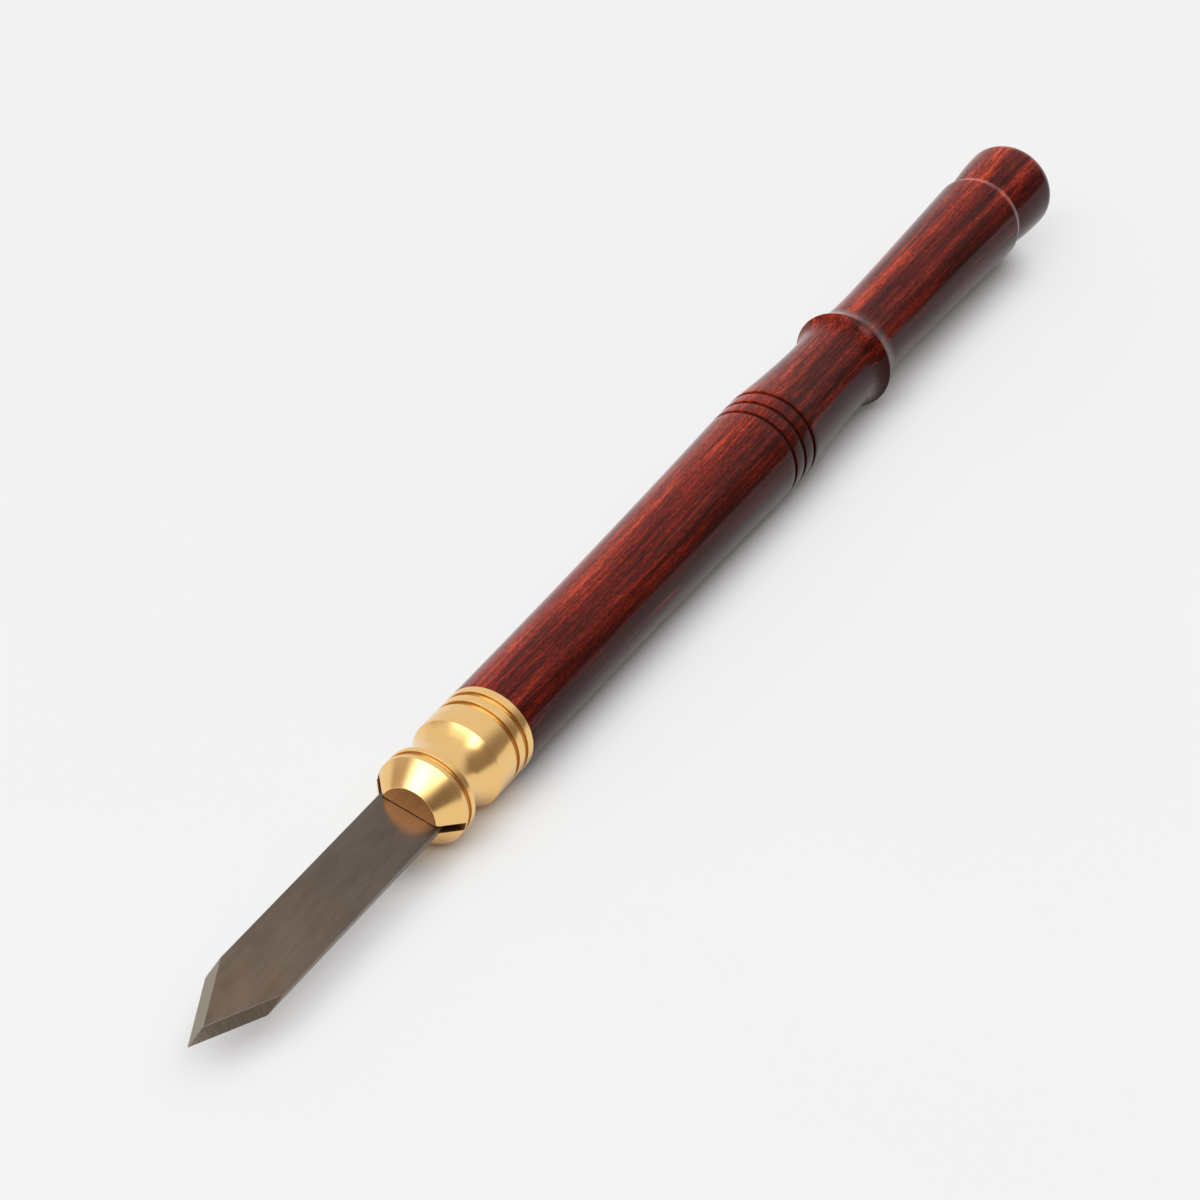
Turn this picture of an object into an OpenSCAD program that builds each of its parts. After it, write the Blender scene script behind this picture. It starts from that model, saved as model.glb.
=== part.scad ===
// Marking knife: a spear-point steel blade in a turned brass ferrule on a turned rosewood handle.
// Every piece is drawn in the knife's own frame: the point at 0, the axis along +X, the bevels facing +Z.

/* [Blade] */
// Width of the blade
blade_w = 6.4; // [5:0.1:8]
// Thickness of the blade
blade_t = 0.8; // [0.5:0.05:1.5]
// Length of blade that stands out of the ferrule
blade_reach = 35.5; // [20:0.5:60]
// Angle of each cutting edge to the centre line
spear_angle = 23; // [15:1:45]
// Angle of the ground bevels to the flat back
bevel_angle = 44; // [25:1:60]
// Width of the tang inside the ferrule
tang_w = 3.2; // [2:0.1:4.4]

/* [Ferrule] */
// Diameter of the nose, the band and the rings
ferrule_d = 9.34; // [8.6:0.02:12]
// Diameter of the flat front face
nose_face_d = 5.74; // [4:0.02:8]
// Length of the conical nose
nose_len = 2.3; // [1.5:0.1:5]
// Depth of the sawn slot, from the front face
slot_depth = 2.4; // [1.5:0.1:4]
// Width of the land between the cone and the nose groove
nose_land_w = 0.47; // [0.2:0.01:2]
// Width of the nose groove
nose_groove_w = 0.56; // [0.3:0.02:1.5]
// Depth of the nose groove
nose_groove_depth = 0.28; // [0.1:0.02:0.8]
// Width of the lip behind the nose groove
lip_w = 0.8; // [0.5:0.05:2]
// Length over which the lip's rear edge rounds off
lip_round_len = 0.3; // [0.1:0.05:0.5]
// Height that the lip's rear edge rounds off
lip_round = 0.2; // [0.05:0.05:0.4]
// Diameter at which the cove starts, below the lip
cove_step_d = 8.2; // [7.4:0.02:8.5]
// Length from the lip to the bottom of the cove
cove_fall_len = 2.12; // [1:0.02:5]
// Diameter at the bottom of the cove
cove_d = 7.4; // [6.6:0.1:8.2]
// Length from the bottom of the cove to the band
cove_rise_len = 2.3; // [1:0.1:5]
// Width of the plain cylindrical band
band_w = 2.78; // [1.5:0.02:8]
// Width of the two grooves behind the band
ring_groove_w = 0.6; // [0.3:0.05:1.5]
// Depth of the two grooves behind the band
ring_groove_depth = 0.34; // [0.1:0.02:0.8]
// Width of the ring between the two grooves
ring_w = 0.98; // [0.5:0.02:4]
// Width of the rear ring, up to the wood
rear_ring_w = 0.87; // [0.5:0.01:4]

/* [Handle] */
// Diameter at the thickest part of the front body, at the line grooves
body_d = 10.4; // [9:0.05:14]
// Length from the ferrule to the first line groove
body_len = 51.27; // [30:0.01:90]
// Width of a line groove
line_w = 0.5; // [0.2:0.05:1.2]
// Depth of a line groove
line_depth = 0.34; // [0.1:0.02:0.8]
// Distance between line grooves
line_pitch = 2.0; // [1.4:0.1:5]
// Number of line grooves
line_count = 3; // [1:1:6]
// Width of the land behind the last line groove
line_land_w = 0.35; // [0.2:0.05:3]
// Length of the taper from the land to the neck
neck_len = 12.05; // [6:0.05:25]
// Diameter of the neck in front of the bead
neck_d = 9.06; // [7.5:0.02:10.2]
// Length of the flare from the neck to the bead
flare_len = 4.0; // [2:0.1:10]
// Diameter of the bead, the largest of the knife
bead_d = 10.74; // [10.4:0.02:16]
// Width of the bead's rim
bead_rim_w = 0.15; // [0.1:0.05:2]
// Length of the cove behind the bead
bead_cove_len = 3.35; // [0.8:0.05:6]
// Diameter at the foot of that cove
bead_foot_d = 8.84; // [7.4:0.02:10]
// Length from the cove's foot to the waist
waist_len = 4.6; // [3:0.1:15]
// Diameter of the waist
waist_d = 8.66; // [7:0.02:9.6]
// Length from the waist to the shoulder
rear_len = 24.05; // [12:0.05:50]
// Diameter of the shoulder
shoulder_d = 9.88; // [8.8:0.02:12]
// Length of the chamfer behind the shoulder
shoulder_chamfer_len = 1.05; // [0.4:0.05:3]
// Diameter at the foot of that chamfer, where the cap starts
step_d = 9; // [7.6:0.02:9.8]
// Length of the flared cap
cap_len = 6.6; // [4:0.1:15]
// Largest diameter of the cap
cap_d = 10; // [8.6:0.02:12]
// Radius of the rounded butt edge
butt_round = 2.3; // [0.5:0.1:3.5]

/* [Inner fits] */
// Gap filled with adhesive round the tang and the spigot
glue_gap = 0.15; // [0.05:0.01:0.3]
// Gap between the blade's faces and the slot's walls
slot_clear = 0.07; // [0.02:0.01:0.2]
// Wall of the ferrule's spigot round the tang hole
spigot_wall = 1.2; // [0.6:0.1:1.6]
// Length of the spigot inside the handle
spigot_len = 12; // [6:0.5:25]
// Solid end of the spigot beyond the tang hole
spigot_end_wall = 2.1; // [1:0.1:4]

/* [As it lies] */
// Turn of the knife about its axis, lying on a bench
lie_roll = 14.5; // [-90:0.5:90]

/* [Hidden] */
$fn = 96;

// Length by which a cut runs past the surface that it opens
overrun = 0.5;
// Steps of a short curve and of a long one
short_steps = 10;
long_steps = 16;
// How each turned curve gathers: 2 is a parabola, and 1 would be a straight taper
cove_fall_power = 1.7;
cove_rise_power = 1.65;
body_power = 2;
neck_power = 1.6;
flare_power = 4.4;
bead_cove_power = 2.2;
waist_power = 2;
rear_power = 1.15;
cap_power = 1.8;

// Stations along the axis from the point: the ferrule
face_x = blade_reach;
slot_floor_x = face_x + slot_depth;
cone_x = face_x + nose_len;
nose_groove_x = cone_x + nose_land_w;
lip_x = nose_groove_x + nose_groove_w;
cove_x = lip_x + lip_w;
cove_bottom_x = cove_x + cove_fall_len;
band_x = cove_bottom_x + cove_rise_len;
ring_groove_pitch = ring_groove_w + ring_w;
ring_groove_x = band_x + band_w;
joint_x = ring_groove_x + ring_groove_w + ring_groove_pitch + rear_ring_w;

// Stations along the axis from the point: the handle
line_x = joint_x + body_len;
land_x = line_x + (line_count - 1) * line_pitch + line_w;
taper_x = land_x + line_land_w;
neck_x = taper_x + neck_len;
bead_x = neck_x + flare_len;
bead_cove_x = bead_x + bead_rim_w;
foot_x = bead_cove_x + bead_cove_len;
waist_x = foot_x + waist_len;
shoulder_x = waist_x + rear_len;
step_x = shoulder_x + shoulder_chamfer_len;
cap_x = step_x + cap_len;
butt_x = cap_x + butt_round;

// Inner fits
slot_w = blade_t + 2 * slot_clear;
tang_hole_r = norm([tang_w, blade_t]) / 2 + glue_gap;
spigot_r = tang_hole_r + spigot_wall;
spigot_end_x = joint_x + spigot_len;
tang_hole_end_x = spigot_end_x - spigot_end_wall;
tang_end_x = tang_hole_end_x - glue_gap;
spigot_hole_r = spigot_r + glue_gap;
spigot_hole_end_x = spigot_end_x + glue_gap;

// Curve from p to q as [radius, station] points: it leaves p along the axis and gathers towards q
function curve(p, q, power, steps) =
    [for (i = [0 : steps]) let (u = i / steps)
        [p[0] + (q[0] - p[0]) * pow(u, power), p[1] + (q[1] - p[1]) * u]];

// The same curve walked the other way, so that it arrives at p along the axis
function curve_back(p, q, power, steps) =
    let (points = curve(p, q, power, steps))
    [for (i = [steps : -1 : 0]) points[i]];

// Round edge that turns from the axis direction at p down to q
function round_over(p, q, steps) =
    [for (i = [0 : steps]) let (a = 90 * i / steps)
        [q[0] + (p[0] - q[0]) * cos(a), p[1] + (q[1] - p[1]) * sin(a)]];

// Square groove of width w from station x, in a surface of radius r, as a parting tool cuts it
function groove(r, x, w, depth) = [[r, x], [r - depth, x], [r - depth, x + w], [r, x + w]];

// Radius of the front body at station x
function body_r(x) =
    let (u = (x - joint_x) / (line_x - joint_x))
    u < 1 ? ferrule_d / 2 + (body_d - ferrule_d) / 2 * pow(u, body_power) : body_d / 2;

ferrule_profile = concat(
    [[0, face_x], [nose_face_d / 2, face_x], [ferrule_d / 2, cone_x]],
    groove(ferrule_d / 2, nose_groove_x, nose_groove_w, nose_groove_depth),
    round_over([ferrule_d / 2, cove_x - lip_round_len], [ferrule_d / 2 - lip_round, cove_x], short_steps),
    curve_back([cove_d / 2, cove_bottom_x], [cove_step_d / 2, cove_x], cove_fall_power, short_steps),
    curve([cove_d / 2, cove_bottom_x], [ferrule_d / 2, band_x], cove_rise_power, short_steps),
    [for (i = [0, 1]) each
        groove(ferrule_d / 2, ring_groove_x + i * ring_groove_pitch, ring_groove_w, ring_groove_depth)],
    [[ferrule_d / 2, joint_x], [spigot_r, joint_x], [spigot_r, spigot_end_x], [0, spigot_end_x]]
);

handle_profile = concat(
    [[0, spigot_hole_end_x], [spigot_hole_r, spigot_hole_end_x], [spigot_hole_r, joint_x]],
    [for (i = [0 : long_steps - 1]) let (x = joint_x + body_len * i / long_steps) [body_r(x), x]],
    [for (i = [0 : line_count - 1]) each groove(body_d / 2, line_x + i * line_pitch, line_w, line_depth)],
    curve_back([neck_d / 2, neck_x], [body_d / 2, taper_x], neck_power, long_steps),
    curve([neck_d / 2, neck_x], [bead_d / 2, bead_x], flare_power, short_steps),
    curve_back([bead_foot_d / 2, foot_x], [bead_d / 2, bead_cove_x], bead_cove_power, short_steps),
    curve_back([waist_d / 2, waist_x], [bead_foot_d / 2, foot_x], waist_power, short_steps),
    curve([waist_d / 2, waist_x], [shoulder_d / 2, shoulder_x], rear_power, long_steps),
    curve_back([cap_d / 2, cap_x], [step_d / 2, step_x], cap_power, short_steps),
    round_over([cap_d / 2, cap_x], [cap_d / 2 - butt_round, butt_x], short_steps),
    [[0, butt_x]]
);

// Drops each point that repeats the one before it
function without_repeats(points) =
    [for (i = [0 : len(points) - 1]) if (i == 0 || norm(points[i] - points[i - 1]) > 0) points[i]];

// Lays the knife on a bench: axis level, bead on the bench, origin under the middle of its length
module as_it_lies() {
    translate([-butt_x / 2, 0, bead_d / 2])
        rotate([lie_roll, 0, 0])
            children();
}

// Turns a profile of [radius, station] points about the knife's axis
module turned(profile) {
    rotate([0, 90, 0])
        rotate_extrude()
            polygon(without_repeats(profile));
}

// Round rod of radius r between two stations
module rod(r, from_x, to_x) {
    translate([from_x, 0, 0])
        rotate([0, 90, 0])
            cylinder(h = to_x - from_x, r = r);
}

// Flat stock with its shoulders and tang, before the point is ground
module blade_blank() {
    translate([0, 0, -blade_t / 2])
        linear_extrude(blade_t)
            polygon([
                [-overrun, -blade_w / 2], [slot_floor_x, -blade_w / 2],
                [slot_floor_x, -tang_w / 2], [tang_end_x, -tang_w / 2],
                [tang_end_x, tang_w / 2], [slot_floor_x, tang_w / 2],
                [slot_floor_x, blade_w / 2], [-overrun, blade_w / 2]
            ]);
}

// Everything that one grinding pass takes off: all above the bevel that starts at one cutting edge
module bevel_cut() {
    edge_len = blade_w / 2 / sin(spear_angle);
    cut_w = blade_w / cos(bevel_angle) + blade_t / sin(bevel_angle);
    translate([0, 0, -blade_t / 2])
        rotate([0, 0, spear_angle])
            rotate([180 - bevel_angle, 0, 0])
                translate([-blade_w, -cut_w, -2 * cut_w])
                    cube([edge_len + 2 * blade_w + blade_t / tan(bevel_angle), 2 * cut_w, 2 * cut_w]);
}

module blade() {
    color([0.46, 0.43, 0.40])
        as_it_lies()
            difference() {
                blade_blank();
                bevel_cut();
                mirror([0, 1, 0])
                    bevel_cut();
            }
}

module ferrule() {
    color([0.83, 0.64, 0.31])
        as_it_lies()
            difference() {
                turned(ferrule_profile);
                translate([face_x - overrun, -ferrule_d / 2 - overrun, -slot_w / 2])
                    cube([slot_depth + overrun, ferrule_d + 2 * overrun, slot_w]);
                rod(tang_hole_r, slot_floor_x - overrun, tang_hole_end_x);
            }
}

module handle() {
    color([0.36, 0.09, 0.05])
        as_it_lies()
            turned(handle_profile);
}

// Cured adhesive round the tang, filling its hole from the slot's floor
module tang_bond() {
    color([0.75, 0.66, 0.42])
        as_it_lies()
            difference() {
                rod(tang_hole_r, slot_floor_x, tang_hole_end_x);
                translate([slot_floor_x - overrun, -tang_w / 2, -blade_t / 2])
                    cube([tang_end_x - slot_floor_x + overrun, tang_w, blade_t]);
            }
}

// Cured adhesive between the spigot and the hole bored in the handle
module spigot_bond() {
    color([0.75, 0.66, 0.42])
        as_it_lies()
            difference() {
                rod(spigot_hole_r, joint_x, spigot_hole_end_x);
                rod(spigot_r, joint_x - overrun, spigot_end_x);
            }
}

blade();
ferrule();
handle();
tang_bond();
spigot_bond();
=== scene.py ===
"""Looks of the marking knife: a ground steel blade, a turned brass ferrule and a turned rosewood handle.

Pieces are drawn in the knife's own frame, as in the part's source: the point at 0, the axis along +X, the
bevels facing +Z, sizes in millimetres. LIE then lays each of them where the CAD model lies, in metres.
"""
import math

import bmesh
import bpy
from mathutils import Matrix, Vector


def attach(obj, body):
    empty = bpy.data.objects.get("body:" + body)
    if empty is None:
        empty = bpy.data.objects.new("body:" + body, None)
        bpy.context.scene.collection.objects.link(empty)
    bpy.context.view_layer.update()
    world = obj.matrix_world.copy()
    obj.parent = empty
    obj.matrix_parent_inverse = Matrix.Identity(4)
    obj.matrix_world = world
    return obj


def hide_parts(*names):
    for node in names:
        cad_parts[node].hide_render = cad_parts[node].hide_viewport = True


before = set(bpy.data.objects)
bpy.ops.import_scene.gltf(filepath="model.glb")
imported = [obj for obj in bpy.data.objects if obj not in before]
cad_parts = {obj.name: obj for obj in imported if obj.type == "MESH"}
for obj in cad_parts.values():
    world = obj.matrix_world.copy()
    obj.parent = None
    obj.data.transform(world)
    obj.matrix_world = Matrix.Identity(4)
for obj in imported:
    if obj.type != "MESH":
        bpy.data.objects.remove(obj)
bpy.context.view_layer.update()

MM = 0.001
AXIS = (1, 0, 0)

# Blade
BLADE_W = 6.4
BLADE_T = 0.8
BLADE_REACH = 35.5
SPEAR_ANGLE = math.radians(23)
BEVEL_ANGLE = math.radians(44)
TANG_W = 3.2
BLADE_EDGE_EASE = 0.035

# Ferrule
FERRULE_R = 9.34 / 2
NOSE_FACE_R = 5.74 / 2
NOSE_LEN = 2.3
SLOT_DEPTH = 2.4
SLOT_CLEAR = 0.07
NOSE_LAND_W = 0.47
NOSE_GROOVE_W = 0.56
NOSE_GROOVE_DEPTH = 0.28
LIP_W = 0.8
LIP_ROUND_LEN = 0.3
LIP_ROUND = 0.2
COVE_STEP_R = 8.2 / 2
COVE_FALL_LEN = 2.12
COVE_R = 7.4 / 2
COVE_RISE_LEN = 2.3
BAND_W = 2.78
RING_GROOVE_W = 0.6
RING_GROOVE_DEPTH = 0.34
RING_GROOVE_COUNT = 2
RING_W = 0.98
REAR_RING_W = 0.87
BRASS_EASE = 0.05

# Handle
BODY_R = 10.4 / 2
BODY_LEN = 51.27
LINE_W = 0.5
LINE_DEPTH = 0.34
LINE_PITCH = 2.0
LINE_COUNT = 3
LINE_LAND_W = 0.35
NECK_LEN = 12.05
NECK_R = 9.06 / 2
FLARE_LEN = 4.0
BEAD_R = 10.74 / 2
BEAD_RIM_W = 0.15
BEAD_COVE_LEN = 3.35
BEAD_FOOT_R = 8.84 / 2
WAIST_LEN = 4.6
WAIST_R = 8.66 / 2
REAR_LEN = 24.05
SHOULDER_R = 9.88 / 2
SHOULDER_CHAMFER_LEN = 1.05
SHOULDER_FALL = 0.26
SHOULDER_STEP_LEN = 0.1
STEP_R = 9 / 2
CAP_LEN = 6.6
CAP_R = 10 / 2
BUTT_ROUND = 2.3
WOOD_EASE = 0.07

# Inner fits
GLUE_GAP = 0.15
SPIGOT_WALL = 1.2
SPIGOT_LEN = 12
SPIGOT_END_WALL = 2.1

# How the knife lies
LIE_ROLL = math.radians(14.5)

# How each turned curve gathers: 2 is a parabola, and 1 would be a straight taper
COVE_FALL_POWER = 1.7
COVE_RISE_POWER = 1.65
NECK_POWER = 1.6
FLARE_POWER = 4.4
BEAD_COVE_POWER = 2.2
REAR_POWER = 1.15
CAP_POWER = 1.8
PARABOLA = 2

# Fineness of the meshes
SEGMENTS = 192
CURVE_STEPS = 24
LONG_STEPS = 48
EASE_STEPS = 4
EASE_SHARE = 0.4
EASE_FROM = math.radians(14)
SHARP_FROM = math.radians(30)
OVERRUN = 0.5
TOUCH = 1e-3
SAME = 1e-6

# Stations along the axis from the point
FACE_X = BLADE_REACH
SLOT_FLOOR_X = FACE_X + SLOT_DEPTH
CONE_X = FACE_X + NOSE_LEN
NOSE_GROOVE_X = CONE_X + NOSE_LAND_W
LIP_X = NOSE_GROOVE_X + NOSE_GROOVE_W
COVE_X = LIP_X + LIP_W
COVE_BOTTOM_X = COVE_X + COVE_FALL_LEN
BAND_X = COVE_BOTTOM_X + COVE_RISE_LEN
RING_GROOVE_X = BAND_X + BAND_W
RING_GROOVE_PITCH = RING_GROOVE_W + RING_W
JOINT_X = RING_GROOVE_X + RING_GROOVE_W + RING_GROOVE_PITCH + REAR_RING_W
LINE_X = JOINT_X + BODY_LEN
TAPER_X = LINE_X + (LINE_COUNT - 1) * LINE_PITCH + LINE_W + LINE_LAND_W
NECK_X = TAPER_X + NECK_LEN
BEAD_X = NECK_X + FLARE_LEN
BEAD_COVE_X = BEAD_X + BEAD_RIM_W
FOOT_X = BEAD_COVE_X + BEAD_COVE_LEN
WAIST_X = FOOT_X + WAIST_LEN
SHOULDER_X = WAIST_X + REAR_LEN
STEP_X = SHOULDER_X + SHOULDER_CHAMFER_LEN
CAP_X = STEP_X + CAP_LEN
BUTT_X = CAP_X + BUTT_ROUND

# Inner sizes worked out from the fits
TANG_HOLE_R = math.hypot(TANG_W, BLADE_T) / 2 + GLUE_GAP
SPIGOT_R = TANG_HOLE_R + SPIGOT_WALL
SPIGOT_END_X = JOINT_X + SPIGOT_LEN
TANG_HOLE_END_X = SPIGOT_END_X - SPIGOT_END_WALL
TANG_END_X = TANG_HOLE_END_X - GLUE_GAP
SPIGOT_HOLE_R = SPIGOT_R + GLUE_GAP
SPIGOT_HOLE_END_X = SPIGOT_END_X + GLUE_GAP

# The knife's frame in the row frame: axis level, origin under the middle of its length
LIE_AT = Vector((-BUTT_X / 2, 0, BEAD_R)) * MM
LIE = Matrix.Translation(LIE_AT) @ Matrix.Rotation(LIE_ROLL, 4, "X") @ Matrix.Scale(MM, 4)


def curve(p, q, power, steps=CURVE_STEPS):
    """(station, radius) points from p to q that leave p along the axis and gather towards q."""
    shares = [i / steps for i in range(steps + 1)]
    return [(p[0] + (q[0] - p[0]) * u, p[1] + (q[1] - p[1]) * u**power) for u in shares]


def curve_back(p, q, power, steps=CURVE_STEPS):
    """The same curve walked the other way, so that it arrives at p along the axis."""
    return curve(p, q, power, steps)[::-1]


def round_over(p, q, steps=CURVE_STEPS):
    """Round edge that turns from the axis direction at p down to q."""
    turns = [math.pi / 2 * i / steps for i in range(steps + 1)]
    return [
        (p[0] + (q[0] - p[0]) * math.sin(a), q[1] + (p[1] - q[1]) * math.cos(a)) for a in turns
    ]


def groove(station, radius, width, depth):
    """Square groove of that width from a station, in a surface of that radius."""
    floor = radius - depth
    end = station + width
    return [(station, radius), (station, floor), (end, floor), (end, radius)]


def body_radius(station):
    """Radius of the handle's front body, which swells from the ferrule to the line grooves."""
    share = (station - JOINT_X) / BODY_LEN
    return FERRULE_R + (BODY_R - FERRULE_R) * share**PARABOLA


def without_repeats(points):
    """The points without any that repeats the one before it."""
    kept = points[:1]
    for point in points[1:]:
        if math.dist(point, kept[-1]) > SAME:
            kept.append(point)
    return kept


def eased(points, reach):
    """The profile with a small round at each corner, as a tool or a polishing cloth leaves it."""
    points = [Vector(p) for p in without_repeats(points)]
    made = [points[0]]
    for before, corner, after in zip(points, points[1:], points[2:]):
        back = before - corner
        on = after - corner
        turn = math.pi - back.angle(on)
        if turn < EASE_FROM:
            made.append(corner)
            continue
        start = corner + back.normalized() * min(reach, back.length * EASE_SHARE)
        end = corner + on.normalized() * min(reach, on.length * EASE_SHARE)
        for i in range(EASE_STEPS + 1):
            u = i / EASE_STEPS
            made.append(start * (1 - u) ** 2 + corner * 2 * u * (1 - u) + end * u**2)
    made.append(points[-1])
    return [tuple(p) for p in made]


def piece_from(bm, name):
    """An object made from bm, whose sizes are millimetres, laid where the knife lies."""
    bmesh.ops.recalc_face_normals(bm, faces=bm.faces)
    bmesh.ops.transform(bm, matrix=LIE, verts=bm.verts)
    mesh = bpy.data.meshes.new(name)
    bm.to_mesh(mesh)
    bm.free()
    piece = bpy.data.objects.new(name, mesh)
    bpy.context.scene.collection.objects.link(piece)
    return piece


def ring(bm, station, radius):
    """One circle of vertices round the axis, or a single one where the radius is nothing."""
    if radius < SAME:
        return [bm.verts.new((station, 0, 0))]
    turns = [2 * math.pi * i / SEGMENTS for i in range(SEGMENTS)]
    return [bm.verts.new((station, radius * math.cos(a), radius * math.sin(a))) for a in turns]


def bridge(bm, one, two):
    """Faces between two neighbouring rings."""
    for i in range(SEGMENTS):
        j = (i + 1) % SEGMENTS
        corners = [one[i % len(one)], one[j % len(one)], two[j % len(two)], two[i % len(two)]]
        bm.faces.new(dict.fromkeys(corners))


def lathed(profile):
    """A turned solid, from a profile that starts and ends on the axis."""
    bm = bmesh.new()
    rings = [ring(bm, station, radius) for station, radius in profile]
    for one, two in zip(rings, rings[1:]):
        bridge(bm, one, two)
    return bm


def rod(radius, start, end):
    """A plain round rod between two stations."""
    return lathed([(start, 0), (start, radius), (end, radius), (end, 0)])


def block(low, high):
    """A box between two corners."""
    bm = bmesh.new()
    bmesh.ops.create_cube(bm, size=1)
    for vertex in bm.verts:
        for k in range(3):
            vertex.co[k] = high[k] if vertex.co[k] > 0 else low[k]
    return bm


def cut_away(piece, bm, name):
    """Takes the solid bm out of a piece."""
    cutter = piece_from(bm, name)
    cut = piece.modifiers.new(name, "BOOLEAN")
    cut.operation = "DIFFERENCE"
    cut.solver = "EXACT"
    cut.object = cutter
    with bpy.context.temp_override(object=piece):
        bpy.ops.object.modifier_apply(modifier=name)
    bpy.data.meshes.remove(cutter.data)


def shade(piece):
    """Smooth shading, broken at the edges that stay sharp."""
    piece.data.shade_smooth()
    piece.data.set_sharp_from_angle(angle=SHARP_FROM)


def add_handle():
    """The turned handle, bored for the spigot."""
    shares = [i / LONG_STEPS for i in range(LONG_STEPS)]
    body = [(JOINT_X + BODY_LEN * u, body_radius(JOINT_X + BODY_LEN * u)) for u in shares]
    lines = []
    for i in range(LINE_COUNT):
        lines += groove(LINE_X + i * LINE_PITCH, BODY_R, LINE_W, LINE_DEPTH)
    profile = [
        (SPIGOT_HOLE_END_X, 0), (SPIGOT_HOLE_END_X, SPIGOT_HOLE_R), (JOINT_X, SPIGOT_HOLE_R),
        *body, *lines,
        *curve_back((NECK_X, NECK_R), (TAPER_X, BODY_R), NECK_POWER),
        *curve((NECK_X, NECK_R), (BEAD_X, BEAD_R), FLARE_POWER),
        *curve_back((FOOT_X, BEAD_FOOT_R), (BEAD_COVE_X, BEAD_R), BEAD_COVE_POWER),
        *curve_back((WAIST_X, WAIST_R), (FOOT_X, BEAD_FOOT_R), PARABOLA),
        *curve((WAIST_X, WAIST_R), (SHOULDER_X, SHOULDER_R), REAR_POWER, LONG_STEPS),
        (STEP_X - SHOULDER_STEP_LEN, SHOULDER_R - SHOULDER_FALL),
        *curve_back((CAP_X, CAP_R), (STEP_X, STEP_R), CAP_POWER),
        *round_over((CAP_X, CAP_R), (BUTT_X, CAP_R - BUTT_ROUND)),
        (BUTT_X, 0),
    ]
    handle = piece_from(lathed(eased(profile, WOOD_EASE)), "turned_handle")
    shade(handle)
    return handle


def add_ferrule():
    """The turned ferrule with its spigot, sawn for the blade and drilled for the tang."""
    grooves = []
    for i in range(RING_GROOVE_COUNT):
        start = RING_GROOVE_X + i * RING_GROOVE_PITCH
        grooves += groove(start, FERRULE_R, RING_GROOVE_W, RING_GROOVE_DEPTH)
    profile = [
        (FACE_X, 0), (FACE_X, NOSE_FACE_R), (CONE_X, FERRULE_R),
        *groove(NOSE_GROOVE_X, FERRULE_R, NOSE_GROOVE_W, NOSE_GROOVE_DEPTH),
        *round_over((COVE_X - LIP_ROUND_LEN, FERRULE_R), (COVE_X, FERRULE_R - LIP_ROUND)),
        *curve_back((COVE_BOTTOM_X, COVE_R), (COVE_X, COVE_STEP_R), COVE_FALL_POWER),
        *curve((COVE_BOTTOM_X, COVE_R), (BAND_X, FERRULE_R), COVE_RISE_POWER),
        *grooves,
        (JOINT_X, FERRULE_R), (JOINT_X, SPIGOT_R), (SPIGOT_END_X, SPIGOT_R), (SPIGOT_END_X, 0),
    ]
    ferrule = piece_from(lathed(eased(profile, BRASS_EASE)), "turned_ferrule")
    slot_half = BLADE_T / 2 + SLOT_CLEAR
    reach = FERRULE_R + OVERRUN
    slot = block((FACE_X - OVERRUN, -reach, -slot_half), (SLOT_FLOOR_X, reach, slot_half))
    cut_away(ferrule, slot, "saw_slot")
    cut_away(ferrule, rod(TANG_HOLE_R, SLOT_FLOOR_X - OVERRUN, TANG_HOLE_END_X), "tang_hole")
    shade(ferrule)
    return ferrule


def blade_outline(shift):
    """Outline of one face of the blade, its point moved back by shift."""
    half = BLADE_W / 2
    tang = TANG_W / 2
    corner = half / math.tan(SPEAR_ANGLE) + shift
    side = [(corner, half), (SLOT_FLOOR_X, half), (SLOT_FLOOR_X, tang), (TANG_END_X, tang)]
    return [(shift, 0), *side, *[(x, -y) for x, y in reversed(side)]]


def add_blade():
    """The flat blade: two bevels ground on one face, the other face flat, and its tang."""
    bm = bmesh.new()
    run = BLADE_T / math.tan(BEVEL_ANGLE) / math.sin(SPEAR_ANGLE)
    back = [bm.verts.new((x, y, -BLADE_T / 2)) for x, y in blade_outline(0)]
    front = [bm.verts.new((x, y, BLADE_T / 2)) for x, y in blade_outline(run)]
    bm.faces.new(back)
    bm.faces.new(front)
    count = len(back)
    for i in range(count):
        j = (i + 1) % count
        bm.faces.new((back[i], back[j], front[j], front[i]))
    cutting = {frozenset((back[0], back[1])), frozenset((back[0], back[-1]))}
    blunt = [edge for edge in bm.edges if frozenset(edge.verts) not in cutting]
    bmesh.ops.bevel(bm, geom=blunt, offset=BLADE_EDGE_EASE, segments=2, profile=0.5, affect="EDGES")
    blade = piece_from(bm, "ground_blade")
    shade(blade)
    return blade


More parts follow.
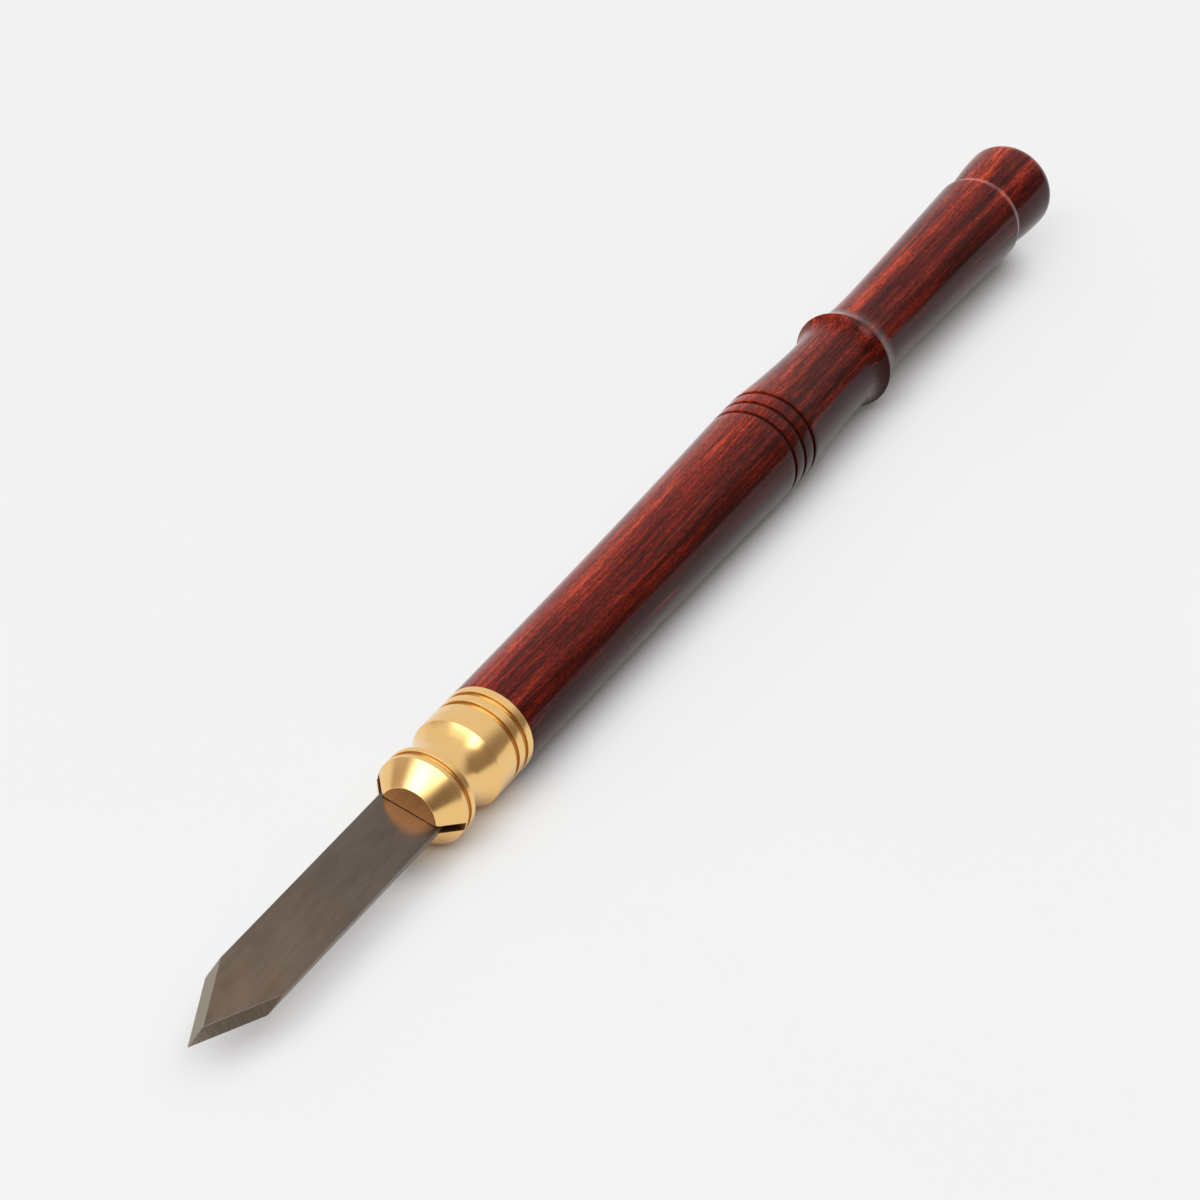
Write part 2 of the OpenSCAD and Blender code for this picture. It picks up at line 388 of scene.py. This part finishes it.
class Tree:
    """Short calls that add nodes to a material, a light or a world."""

    def __init__(self, owner):
        owner.use_nodes = True
        self.tree = owner.node_tree
        self.tree.nodes.clear()

    def add(self, kind, sockets=None, **settings):
        """One node, its settings, and its sockets set or linked."""
        node = self.tree.nodes.new(kind)
        for name, value in settings.items():
            setattr(node, name, value)
        for name, value in (sockets or {}).items():
            self.put(node.inputs[name], value)
        return node

    def put(self, socket, value):
        """Links another node's output to the socket, or sets its value."""
        if isinstance(value, bpy.types.NodeSocket):
            self.tree.links.new(value, socket)
        else:
            socket.default_value = value

    def maths(self, operation, *values):
        """Values joined by one arithmetic operation."""
        return self.add("ShaderNodeMath", dict(enumerate(values)), operation=operation).outputs[0]

    def swing(self, value, amount):
        """How far a value is from its middle, times an amount."""
        return self.maths("MULTIPLY", self.maths("SUBTRACT", value, 0.5), amount)

    def vectors(self, operation, *values):
        """Vectors joined by one operation."""
        return self.add("ShaderNodeVectorMath", dict(enumerate(values)), operation=operation)

    def scaled(self, vector, factors):
        """A vector times a factor for each axis."""
        return self.vectors("MULTIPLY", vector, factors).outputs[0]

    def dot(self, vector, towards):
        """How far a vector reaches in a direction."""
        return self.vectors("DOT_PRODUCT", vector, towards).outputs["Value"]

    def noise(self, vector, detail=2.0, roughness=0.5):
        """A noise node read at a vector that is already in features."""
        sockets = {"Vector": vector, "Scale": 1.0, "Detail": detail, "Roughness": roughness}
        return self.add("ShaderNodeTexNoise", sockets)

    def grain(self, vector, per_mm, detail=2.0, roughness=0.5):
        """Noise with so many features to the millimetre along each axis."""
        return self.noise(self.scaled(vector, per_mm), detail, roughness).outputs[0]

    def ranged(self, value, low, high, to_low=0.0, to_high=1.0, ends="SMOOTHSTEP"):
        """A value moved from one range to another, with soft ends unless they are LINEAR."""
        sockets = {0: value, 1: low, 2: high, 3: to_low, 4: to_high}
        return self.add("ShaderNodeMapRange", sockets, interpolation_type=ends).outputs[0]

    def ramp(self, value, stops):
        """A colour from (place, colour) stops."""
        node = self.add("ShaderNodeValToRGB", {0: value})
        elements = node.color_ramp.elements
        while len(elements) < len(stops):
            elements.new(0.5)
        for element, (place, colour) in zip(elements, stops):
            element.position = place
            element.color = (*colour, 1)
        return node.outputs[0]

    def mixed(self, share, a, b):
        """Two colours mixed."""
        node = self.add("ShaderNodeMix", data_type="RGBA")
        for socket, value in zip((node.inputs[0], node.inputs[6], node.inputs[7]), (share, a, b)):
            self.put(socket, value)
        return node.outputs[2]

    def bump(self, height, distance):
        """A normal bent by a height of that many millimetres."""
        return self.add("ShaderNodeBump", {"Height": height, "Distance": distance * MM}).outputs[0]

    def place(self):
        """Place on the piece in the knife's frame, in millimetres."""
        where = self.add("ShaderNodeTexCoord").outputs["Object"]
        sockets = {"Vector": where, "Location": LIE_AT, "Rotation": (LIE_ROLL, 0, 0), "Scale": (MM, MM, MM)}
        return self.add("ShaderNodeMapping", sockets, vector_type="TEXTURE").outputs[0]

    def surface(self, **sockets):
        """The finished surface."""
        names = {name.replace("_", " "): value for name, value in sockets.items()}
        shader = self.add("ShaderNodeBsdfPrincipled", names)
        self.add("ShaderNodeOutputMaterial", {"Surface": shader.outputs[0]})


# Most of a noise's values lie in this range
NOISE_SPAN = (0.3, 0.7)


def new_material(name):
    """A material and the tree to fill."""
    material = bpy.data.materials.new(name)
    return material, Tree(material)


# Rosewood: the paler side of the blank, which faces the light, its bands as (millimetres towards that side,
# tone), and its tones
LIT_PALE_SIDE = (0, 0.943, 0.334)
BAND_REACH = 5.5
# The bands are partly the wood's own figure and partly painted shade: paler towards the light, darker away
# from it
WOOD_BANDS_AND_SHADE = (
    (-5.0, 0.24), (-2.6, 0.26), (-1.8, 0.42), (-0.8, 0.40), (-0.3, 0.54),
    (0.5, 0.45), (1.4, 0.48), (2.4, 0.60), (3.3, 0.74), (3.8, 0.66),
)
WOOD_TONES = (
    (0.00, (0.010, 0.0008, 0.0006)),
    (0.30, (0.038, 0.0024, 0.0012)),
    (0.50, (0.100, 0.0064, 0.0025)),
    (0.70, (0.230, 0.0165, 0.0050)),
    (0.90, (0.530, 0.0540, 0.0150)),
    (1.00, (0.660, 0.0750, 0.0200)),
)

# Places whose tone differs: the neck, the part behind the bead with its bright vein, and the shoulder's
# chamfer, painted paler as a sheen.
# The vein's place is in millimetres towards the pale side, and edges are where a change starts and ends.
NECK_TONE = -0.07
REAR_TONE = 0.07
REAR_VEIN_AT = 0.2
REAR_VEIN_EDGE = (0.1, 0.45)
REAR_VEIN_TONE = 0.16
SHOULDER_SHEEN_TONE = 0.18
SHOULDER_SHEEN_EDGE = 0.2

# The figure is calmer on the side that is painted dark as shade
SHADED_CALM_EDGE = (-4.5, -1.5)
SHADED_CALM_AMOUNT = 0.4

# The figure, each part as features to the millimetre, detail and roughness, with its amount;
# the grain's amounts are those on the body and behind the bead
WOOD_DRIFT_PER_MM = (0.012, 0.05, 0.05)
WOOD_DRIFT = (0, 1.0, 1.0)
WOOD_GRAIN = (
    ((0.03, 1.0, 1.0), 2.0, 0.50, (0.30, 0.90)),
    ((0.10, 0.8, 0.8), 3.0, 0.50, (0.45, 0.50)),
    ((0.06, 3.2, 3.2), 4.0, 0.58, (0.75, 0.60)),
    ((0.30, 5.0, 5.0), 2.0, 0.50, (0.35, 0.30)),
)
FIBRES = ((1.6, 8.0, 8.0), 3.0, 0.6)
FIBRE_AMOUNT = 0.85
FLECKS = ((0.06, 2.2, 2.2), 4.0)
FLECK_RANGE = (0.60, 0.78, 0.0, 0.5)
FLECK_COLOUR = (0.50, 0.050, 0.013, 1)
PORES = ((0.12, 5.0, 5.0), 2.0)
PORE_RANGE = (0.59, 0.69, 0.0, 0.7)
PORE_COLOUR = (0.010, 0.0009, 0.0007, 1)
WOOD_RELIEF = 0.0008


def wood_bands_and_shade(tree, across):
    """Tone of the broad bands at a distance towards the lit side, with painted shade darkening the side
    away from the light.
    """
    share = tree.ranged(across, -BAND_REACH, BAND_REACH, ends="LINEAR")
    stops = [((mm + BAND_REACH) / (2 * BAND_REACH), (tone,) * 3) for mm, tone in WOOD_BANDS_AND_SHADE]
    return tree.ramp(share, stops)


def wood_places(tree, place, across):
    """Tone added at the places that differ, and how far a place is behind the bead."""
    station = tree.dot(place, AXIS)
    neck = tree.ranged(station, TAPER_X, NECK_X - NECK_LEN / 2, 0.0, NECK_TONE)
    rear = tree.ranged(station, NECK_X, FOOT_X)
    from_vein = tree.maths("ABSOLUTE", tree.maths("SUBTRACT", across, REAR_VEIN_AT))
    vein = tree.ranged(from_vein, *REAR_VEIN_EDGE, REAR_TONE + REAR_VEIN_TONE, REAR_TONE)
    shoulder = (SHOULDER_X + STEP_X) / 2
    from_shoulder = tree.maths("ABSOLUTE", tree.maths("SUBTRACT", station, shoulder))
    half = SHOULDER_CHAMFER_LEN / 2
    # Painted sheen: the shoulder's chamfer is painted paler, standing in for its bright reflection
    shoulder_sheen = tree.ranged(from_shoulder, half, half + SHOULDER_SHEEN_EDGE, SHOULDER_SHEEN_TONE, 0.0)
    tone = tree.maths("ADD", neck, tree.maths("MULTIPLY", rear, vein))
    return tree.maths("ADD", tone, shoulder_sheen), rear


def rosewood():
    """Oiled and polished rosewood: bands, streaks and fibres along the axis, flecks, pores, painted shade
    and a painted sheen.
    """
    material, tree = new_material("rosewood")
    place = tree.place()
    drift = tree.noise(tree.scaled(place, WOOD_DRIFT_PER_MM)).outputs["Color"]
    off = tree.vectors("SUBTRACT", drift, (0.5, 0.5, 0.5)).outputs[0]
    wood = tree.vectors("ADD", place, tree.scaled(off, WOOD_DRIFT)).outputs[0]
    across = tree.dot(wood, LIT_PALE_SIDE)
    places, rear = wood_places(tree, place, across)
    fibres = tree.grain(wood, *FIBRES)
    figure = tree.swing(fibres, FIBRE_AMOUNT)
    for per_mm, detail, roughness, amounts in WOOD_GRAIN:
        amount = tree.ranged(rear, 0.0, 1.0, *amounts, ends="LINEAR")
        part = tree.grain(wood, per_mm, detail, roughness)
        figure = tree.maths("ADD", figure, tree.swing(part, amount))
    # Less figure where the wood is painted dark as shade
    shaded_calm = tree.ranged(across, *SHADED_CALM_EDGE, SHADED_CALM_AMOUNT, 1.0)
    tone = tree.maths("ADD", wood_bands_and_shade(tree, across), places)
    tone = tree.maths("ADD", tone, tree.maths("MULTIPLY", figure, shaded_calm))
    flecks = tree.ranged(tree.grain(wood, *FLECKS), *FLECK_RANGE)
    pores = tree.ranged(tree.grain(wood, *PORES), *PORE_RANGE)
    colour = tree.mixed(flecks, tree.ramp(tone, WOOD_TONES), FLECK_COLOUR)
    colour = tree.mixed(pores, colour, PORE_COLOUR)
    relief = tree.bump(tree.maths("SUBTRACT", fibres, pores), WOOD_RELIEF)
    tree.surface(
        Base_Color=colour,
        Roughness=0.6,
        Specular_IOR_Level=0.0,
        Normal=relief,
        Coat_Weight=1.0,
        Coat_Roughness=0.12,
        Coat_IOR=1.24,
        Coat_Normal=relief,
    )
    return material


def dark_groove_wood():
    """Wood of the line grooves, coloured darker than the rest of the handle."""
    material, tree = new_material("dark_groove_wood")
    groove_mottle = tree.grain(tree.place(), (1.5, 5.0, 5.0), 3.0, 0.6)
    # Darker colours in the line grooves than on the body
    colour = tree.mixed(groove_mottle, (0.012, 0.0030, 0.0024, 1), (0.045, 0.0095, 0.0060, 1))
    tree.surface(Base_Color=colour, Roughness=0.7, Specular_IOR_Level=0.2, Normal=tree.bump(groove_mottle, 0.004))
    return material


# Lathe rings to the millimetre along the cut, and how slowly they change round the axis
RINGS_PER_MM = 14.0
RING_DRIFT_PER_MM = (0, 0.05, 0.05)


def turned_rings(tree, place):
    """The fine rings that a lathe tool leaves, counted along the cut, and so also across a flat face."""
    from_axis = tree.vectors("LENGTH", tree.scaled(place, (0, 1, 1))).outputs["Value"]
    along = tree.maths("ADD", tree.dot(place, AXIS), from_axis)
    cut = tree.add("ShaderNodeCombineXYZ", {0: tree.maths("MULTIPLY", along, RINGS_PER_MM)}).outputs[0]
    drift = tree.scaled(place, RING_DRIFT_PER_MM)
    return tree.noise(tree.vectors("ADD", cut, drift).outputs[0], 3.0, 0.7).outputs[0]


def brass():
    """Turned and polished brass."""
    material, tree = new_material("brass")
    place = tree.place()
    rings = turned_rings(tree, place)
    haze = tree.grain(place, (0.5, 0.5, 0.5), 3.0)
    ring_gloss = tree.ranged(rings, *NOISE_SPAN, 0.16, 0.22)
    haze_gloss = tree.ranged(haze, *NOISE_SPAN, 0.0, 0.05)
    gloss = tree.maths("ADD", ring_gloss, haze_gloss)
    colour = tree.mixed(tree.ranged(haze, 0.35, 0.65), (0.92, 0.585, 0.225, 1), (0.94, 0.605, 0.245, 1))
    tree.surface(Base_Color=colour, Metallic=1.0, Roughness=gloss, Normal=tree.bump(rings, 0.0015))
    return material


def groove_brass():
    """Brass in the bottom of a turned groove, which the polishing cloth doesn't reach."""
    material, tree = new_material("groove_brass")
    place = tree.place()
    tarnish = tree.grain(place, (1.2, 1.2, 1.2), 4.0, 0.6)
    colour = tree.mixed(tarnish, (0.58, 0.35, 0.13, 1), (0.68, 0.43, 0.18, 1))
    gloss = tree.ranged(tarnish, *NOISE_SPAN, 0.24, 0.34)
    relief = tree.bump(turned_rings(tree, place), 0.002)
    tree.surface(Base_Color=colour, Metallic=1.0, Roughness=gloss, Normal=relief)
    return material


def lined_metal(name, per_mm, roughness, colours, gloss_range, height):
    """Metal lined in one direction by the tool that cut it."""
    material, tree = new_material(name)
    lines = tree.grain(tree.place(), per_mm, 3.0, roughness)
    colour = tree.mixed(lines, *colours)
    gloss = tree.ranged(lines, *NOISE_SPAN, *gloss_range)
    tree.surface(Base_Color=colour, Metallic=1.0, Roughness=gloss, Normal=tree.bump(lines, height))
    return material


def faced_brass():
    """Brass of the ferrule's front face: redder and less polished, with faint lines from facing it off."""
    colours = ((0.72, 0.375, 0.155, 1), (0.86, 0.465, 0.205, 1))
    return lined_metal("faced_brass", (1.0, 0.4, 7.0), 0.6, colours, (0.16, 0.24), 0.002)


def shaded_sawn_brass():
    """Brass painted dark as shade in the slot, the hole and on the spigot, dull as the saw left it, with
    the lines of the cut across the slot.
    """
    # Painted shade: these colours are far darker than the brass outside the slot
    colours = ((0.20, 0.095, 0.030, 1), (0.32, 0.165, 0.060, 1))
    return lined_metal("shaded_sawn_brass", (9.0, 0.3, 9.0), 0.6, colours, (0.42, 0.55), 0.006)


def ground_steel():
    """Bright steel of the ground bevels, lined across the cutting edges by the wheel."""
    colours = ((0.31, 0.275, 0.22, 1), (0.38, 0.34, 0.275, 1))
    return lined_metal("ground_steel", (11.0, 0.5, 0.5), 0.65, colours, (0.24, 0.34), 0.001)


# The blade's skin is brownest up to here, in millimetres from the point, and plain at the ferrule
TEMPERED_FROM = 5.0


def steel():
    """Drawn tool steel with its dark, streaky skin, lined along the blade and browner at the point."""
    material, tree = new_material("steel")
    place = tree.place()
    lines = tree.grain(place, (0.06, 8.0, 8.0), 3.0, 0.6)
    cloud = tree.grain(place, (0.2, 0.9, 0.9), 4.0, 0.6)
    tempered = tree.ranged(tree.dot(place, AXIS), TEMPERED_FROM, FACE_X)
    pale = tree.mixed(tempered, (0.220, 0.160, 0.120, 1), (0.158, 0.128, 0.108, 1))
    dark = tree.mixed(tempered, (0.172, 0.122, 0.088, 1), (0.120, 0.096, 0.080, 1))
    share = tree.maths("ADD", cloud, tree.swing(lines, 0.5))
    colour = tree.mixed(tree.ranged(share, 0.25, 0.75), dark, pale)
    gloss = tree.ranged(cloud, *NOISE_SPAN, 0.24, 0.32)
    tree.surface(Base_Color=colour, Metallic=1.0, Roughness=gloss, Normal=tree.bump(lines, 0.001))
    return material


def resin():
    """Cured adhesive, faintly cloudy."""
    material, tree = new_material("resin")
    cloud = tree.grain(tree.place(), (1.2, 1.2, 1.2), 3.0)
    colour = tree.ramp(cloud, list(zip(NOISE_SPAN, ((0.45, 0.34, 0.14), (0.58, 0.46, 0.22)))))
    tree.surface(Base_Color=colour, Roughness=0.35)
    return material


# Camera and floor
AIM = Vector((-9.35, 1.13, 5.37)) * MM
CAMERA_DISTANCE = 427.66 * MM
CAMERA_HEADING = math.radians(29.08)
CAMERA_DOWN = math.radians(35.36)
LENS = 135
SENSOR = 36
CLIP_START = 0.01
FLOOR_HALF = 4.0
PAPER_DARK = (0.826, 0.832, 0.832)
PAPER_PALE = (0.846, 0.852, 0.852)
PAPER_SEEN = 0.89

# The floor keeps its shadow near these lines, given by their ends along the axis, and is evened out beyond.
# There are two, so that the thin blade's shadow is fainter than the handle's. Lengths are in millimetres.
SHADOW_LINES = ((-80, 71), (-44, 71))
SHADOW_REACH = (2.8, 8.8)
SHADOW_LIFT = 0.66

# Light: the room's grey, its darker sides as (heading and height, edge angles, colour), and its soft boxes
# as name: (heading and height, width and height, peak), with all angles in degrees and sizes in metres
ROOM_COLOUR = (0.84, 0.84, 0.84, 1)
DARK_SIDES = (
    ((-120, 0), (50, 30), (0.19, 0.155, 0.140, 1)),
    ((-62, 0), (50, 22), (0.29, 0.240, 0.220, 1)),
    ((-85, 20), (46, 8), (0.28, 0.230, 0.205, 1)),
    ((100, 17), (13, 6), (0.51, 0.43, 0.44, 1)),
    ((110, 32), (13, 6), (0.51, 0.43, 0.44, 1)),
)
LAMP_DISTANCE = 2.0
SOFT_BOXES = {
    "soft_box": ((166, 54.8), (2.1, 0.92), 3.5),
    "scrim": ((166, 64), (2.4, 1.7), 0.7),
    "side_box": ((-129, 56.5), (1.08, 1.08), 3.4),
}

# x (1 - x) y (1 - y) is a sixteenth in the middle of a soft box, so this makes its level there 1
FALL_SCALE = 16.0


def direction(heading, height):
    """Unit vector towards a heading and a height above the floor, both in degrees."""
    across = math.cos(math.radians(height))
    turn = math.radians(heading)
    return Vector((across * math.cos(turn), across * math.sin(turn), math.sin(math.radians(height))))


def add_camera():
    """The camera at the photograph's viewing angle."""
    forward = Vector((
        math.cos(CAMERA_DOWN) * math.cos(CAMERA_HEADING),
        math.cos(CAMERA_DOWN) * math.sin(CAMERA_HEADING),
        -math.sin(CAMERA_DOWN),
    ))
    data = bpy.data.cameras.new("camera")
    data.lens = LENS
    data.sensor_width = SENSOR
    data.clip_start = CLIP_START
    camera = bpy.data.objects.new("camera", data)
    camera.location = AIM - forward * CAMERA_DISTANCE
    camera.rotation_euler = forward.to_track_quat("-Z", "Y").to_euler()
    bpy.context.scene.collection.objects.link(camera)
    bpy.context.scene.camera = camera


def from_line(tree, start, end):
    """How far a place on the floor is from a line under the knife's axis, in millimetres."""
    spot = tree.scaled(tree.add("ShaderNodeNewGeometry").outputs["Position"], (1 / MM, 1 / MM, 0))
    from_middle = tree.vectors("SUBTRACT", spot, ((start + end) / 2, 0, 0)).outputs[0]
    mirrored = tree.vectors("ABSOLUTE", from_middle).outputs[0]
    past_end = tree.vectors("SUBTRACT", mirrored, ((end - start) / 2, 0, 0)).outputs[0]
    beside = tree.vectors("MAXIMUM", past_end, (0, 0, 0)).outputs[0]
    return tree.vectors("LENGTH", beside).outputs["Value"]


def floor_paper():
    """White paper, seen evenly lit away from the knife and with its shadow beside it."""
    material, tree = new_material("floor_paper")
    mottle = tree.grain(tree.place(), (0.02, 0.02, 0.02))
    tint = tree.ramp(mottle, list(zip(NOISE_SPAN, (PAPER_DARK, PAPER_PALE))))
    paper = tree.add("ShaderNodeBsdfDiffuse", {"Color": tint}).outputs[0]
    glow = tree.add("ShaderNodeEmission", {"Strength": PAPER_SEEN}).outputs[0]
    ray = tree.add("ShaderNodeLightPath").outputs
    seen = tree.maths("MAXIMUM", ray["Is Camera Ray"], ray["Is Glossy Ray"])
    seen = tree.maths("MAXIMUM", seen, ray["Is Transmission Ray"])
    lift = 0.0
    for ends in SHADOW_LINES:
        clear = tree.ranged(from_line(tree, *ends), *SHADOW_REACH, 0.0, SHADOW_LIFT)
        lift = tree.maths("ADD", lift, tree.maths("DIVIDE", clear, len(SHADOW_LINES)))
    share = tree.maths("MULTIPLY", seen, lift)
    shader = tree.add("ShaderNodeMixShader", {0: share, 1: paper, 2: glow}).outputs[0]
    tree.add("ShaderNodeOutputMaterial", {"Surface": shader})
    return material


def add_floor():
    """The pale floor, in the plane that the bead and the nose rest on."""
    bead = Vector(((BEAD_X + BEAD_RIM_W / 2 - BUTT_X / 2) * MM, 0, 0))
    nose = Vector(((CONE_X + NOSE_LAND_W / 2 - BUTT_X / 2) * MM, 0, (BEAD_R - FERRULE_R) * MM))
    bm = bmesh.new()
    bmesh.ops.create_grid(bm, x_segments=1, y_segments=1, size=FLOOR_HALF)
    mesh = bpy.data.meshes.new("floor")
    bm.to_mesh(mesh)
    bm.free()
    mesh.materials.append(floor_paper())
    floor = bpy.data.objects.new("floor", mesh)
    floor.location = bead
    floor.rotation_euler = (0, math.atan2(nose.z - bead.z, bead.x - nose.x), 0)
    bpy.context.scene.collection.objects.link(floor)


def add_room():
    """The pale room that the knife mirrors, darker on some sides."""
    world = bpy.data.worlds.new("studio")
    bpy.context.scene.world = world
    tree = Tree(world)
    sight = tree.add("ShaderNodeTexCoord").outputs["Generated"]
    colour = ROOM_COLOUR
    for towards, edge, shade_colour in DARK_SIDES:
        start, end = (math.cos(math.radians(angle)) for angle in edge)
        share = tree.ranged(tree.dot(sight, direction(*towards)), start, end)
        colour = tree.mixed(share, colour, shade_colour)
    background = tree.add("ShaderNodeBackground", {"Color": colour, "Strength": 1.0})
    tree.add("ShaderNodeOutputWorld", {"Surface": background.outputs[0]})


def add_soft_box(name, towards, size, peak):
    """A soft box of that width and height, brightest in its middle."""
    data = bpy.data.lights.new(name, "AREA")
    data.shape = "RECTANGLE"
    data.size, data.size_y = size
    data.energy = peak * math.pi * data.size * data.size_y
    tree = Tree(data)
    spot = tree.add("ShaderNodeNewGeometry").outputs["Parametric"]
    across = tree.add("ShaderNodeSeparateXYZ", {0: spot})
    level = FALL_SCALE
    for share in across.outputs[:2]:
        fall = tree.maths("MULTIPLY", share, tree.maths("SUBTRACT", 1.0, share))
        level = tree.maths("MULTIPLY", level, fall)
    glow = tree.add("ShaderNodeEmission", {"Strength": level})
    tree.add("ShaderNodeOutputLight", {"Surface": glow.outputs[0]})
    lamp = bpy.data.objects.new(name, data)
    lamp.location = direction(*towards) * LAMP_DISTANCE
    lamp.rotation_euler = direction(*towards).to_track_quat("Z", "Y").to_euler()
    bpy.context.scene.collection.objects.link(lamp)


def in_groove(spot):
    """Whether a place on the ferrule is in one of its turned grooves."""
    grooves = [(NOSE_GROOVE_X, NOSE_GROOVE_W)]
    for i in range(RING_GROOVE_COUNT):
        grooves.append((RING_GROOVE_X + i * RING_GROOVE_PITCH, RING_GROOVE_W))
    below = math.hypot(spot.y, spot.z) < FERRULE_R - BRASS_EASE
    return below and any(x < spot.x < x + width for x, width in grooves)


def in_line(spot):
    """Whether a place on the handle is in one of its line grooves."""
    past_first = spot.x - LINE_X
    along = past_first % LINE_PITCH
    within = 0 < past_first < LINE_COUNT * LINE_PITCH and along < LINE_W
    return within and math.hypot(spot.y, spot.z) < BODY_R - WOOD_EASE


def on_face(spot):
    """Whether a place on the ferrule is on its flat front face."""
    return spot.x < FACE_X + TOUCH


def in_shaded_cut(spot):
    """Whether a place on the ferrule is in its slot or its hole, or on its spigot, where the brass is
    painted dark as shade.
    """
    within_slot = abs(spot.z) < BLADE_T / 2 + SLOT_CLEAR + TOUCH and spot.x > FACE_X + TOUCH
    in_slot = within_slot and spot.x < SLOT_FLOOR_X + TOUCH
    in_hole = math.hypot(spot.y, spot.z) < TANG_HOLE_R + TOUCH and spot.x > SLOT_FLOOR_X
    return in_slot or in_hole or spot.x > JOINT_X


def on_bevel(spot):
    """Whether a place on the blade is on a bevel, between the two faces and ahead of the sides."""
    between_faces = abs(spot.z) < BLADE_T / 2 - TOUCH
    return between_faces and abs(spot.y) < BLADE_W / 2 - BLADE_EDGE_EASE and spot.x < FACE_X / 2


def paint(piece, material, covers):
    """Gives a second material to the faces of a piece whose middles covers() accepts."""
    index = len(piece.data.materials)
    piece.data.materials.append(material)
    back = LIE.inverted()
    for face in piece.data.polygons:
        if covers(back @ face.center):
            face.material_index = index


def finish_piece(piece, material, node):
    """Gives a piece its material, attaches it to the body it moves with, and hides the CAD part it stands
    in for.
    """
    piece.data.materials.clear()
    piece.data.materials.append(material)
    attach(piece, "root")
    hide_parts(node)


add_camera()
add_floor()
add_room()
for box_name, (towards, size, peak) in SOFT_BOXES.items():
    add_soft_box(box_name, towards, size, peak)

handle = add_handle()
finish_piece(handle, rosewood(), "handle")
paint(handle, dark_groove_wood(), in_line)

ferrule = add_ferrule()
finish_piece(ferrule, brass(), "ferrule")
paint(ferrule, groove_brass(), in_groove)
paint(ferrule, faced_brass(), on_face)
# The slot, the hole and the spigot get painted shade
paint(ferrule, shaded_sawn_brass(), in_shaded_cut)

blade = add_blade()
finish_piece(blade, steel(), "blade")
paint(blade, ground_steel(), on_bevel)

glue = resin()
for bond in ("tang_bond", "spigot_bond"):
    for material_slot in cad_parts[bond].material_slots:
        material_slot.material = glue

bpy.context.scene.view_settings.view_transform = "Standard"
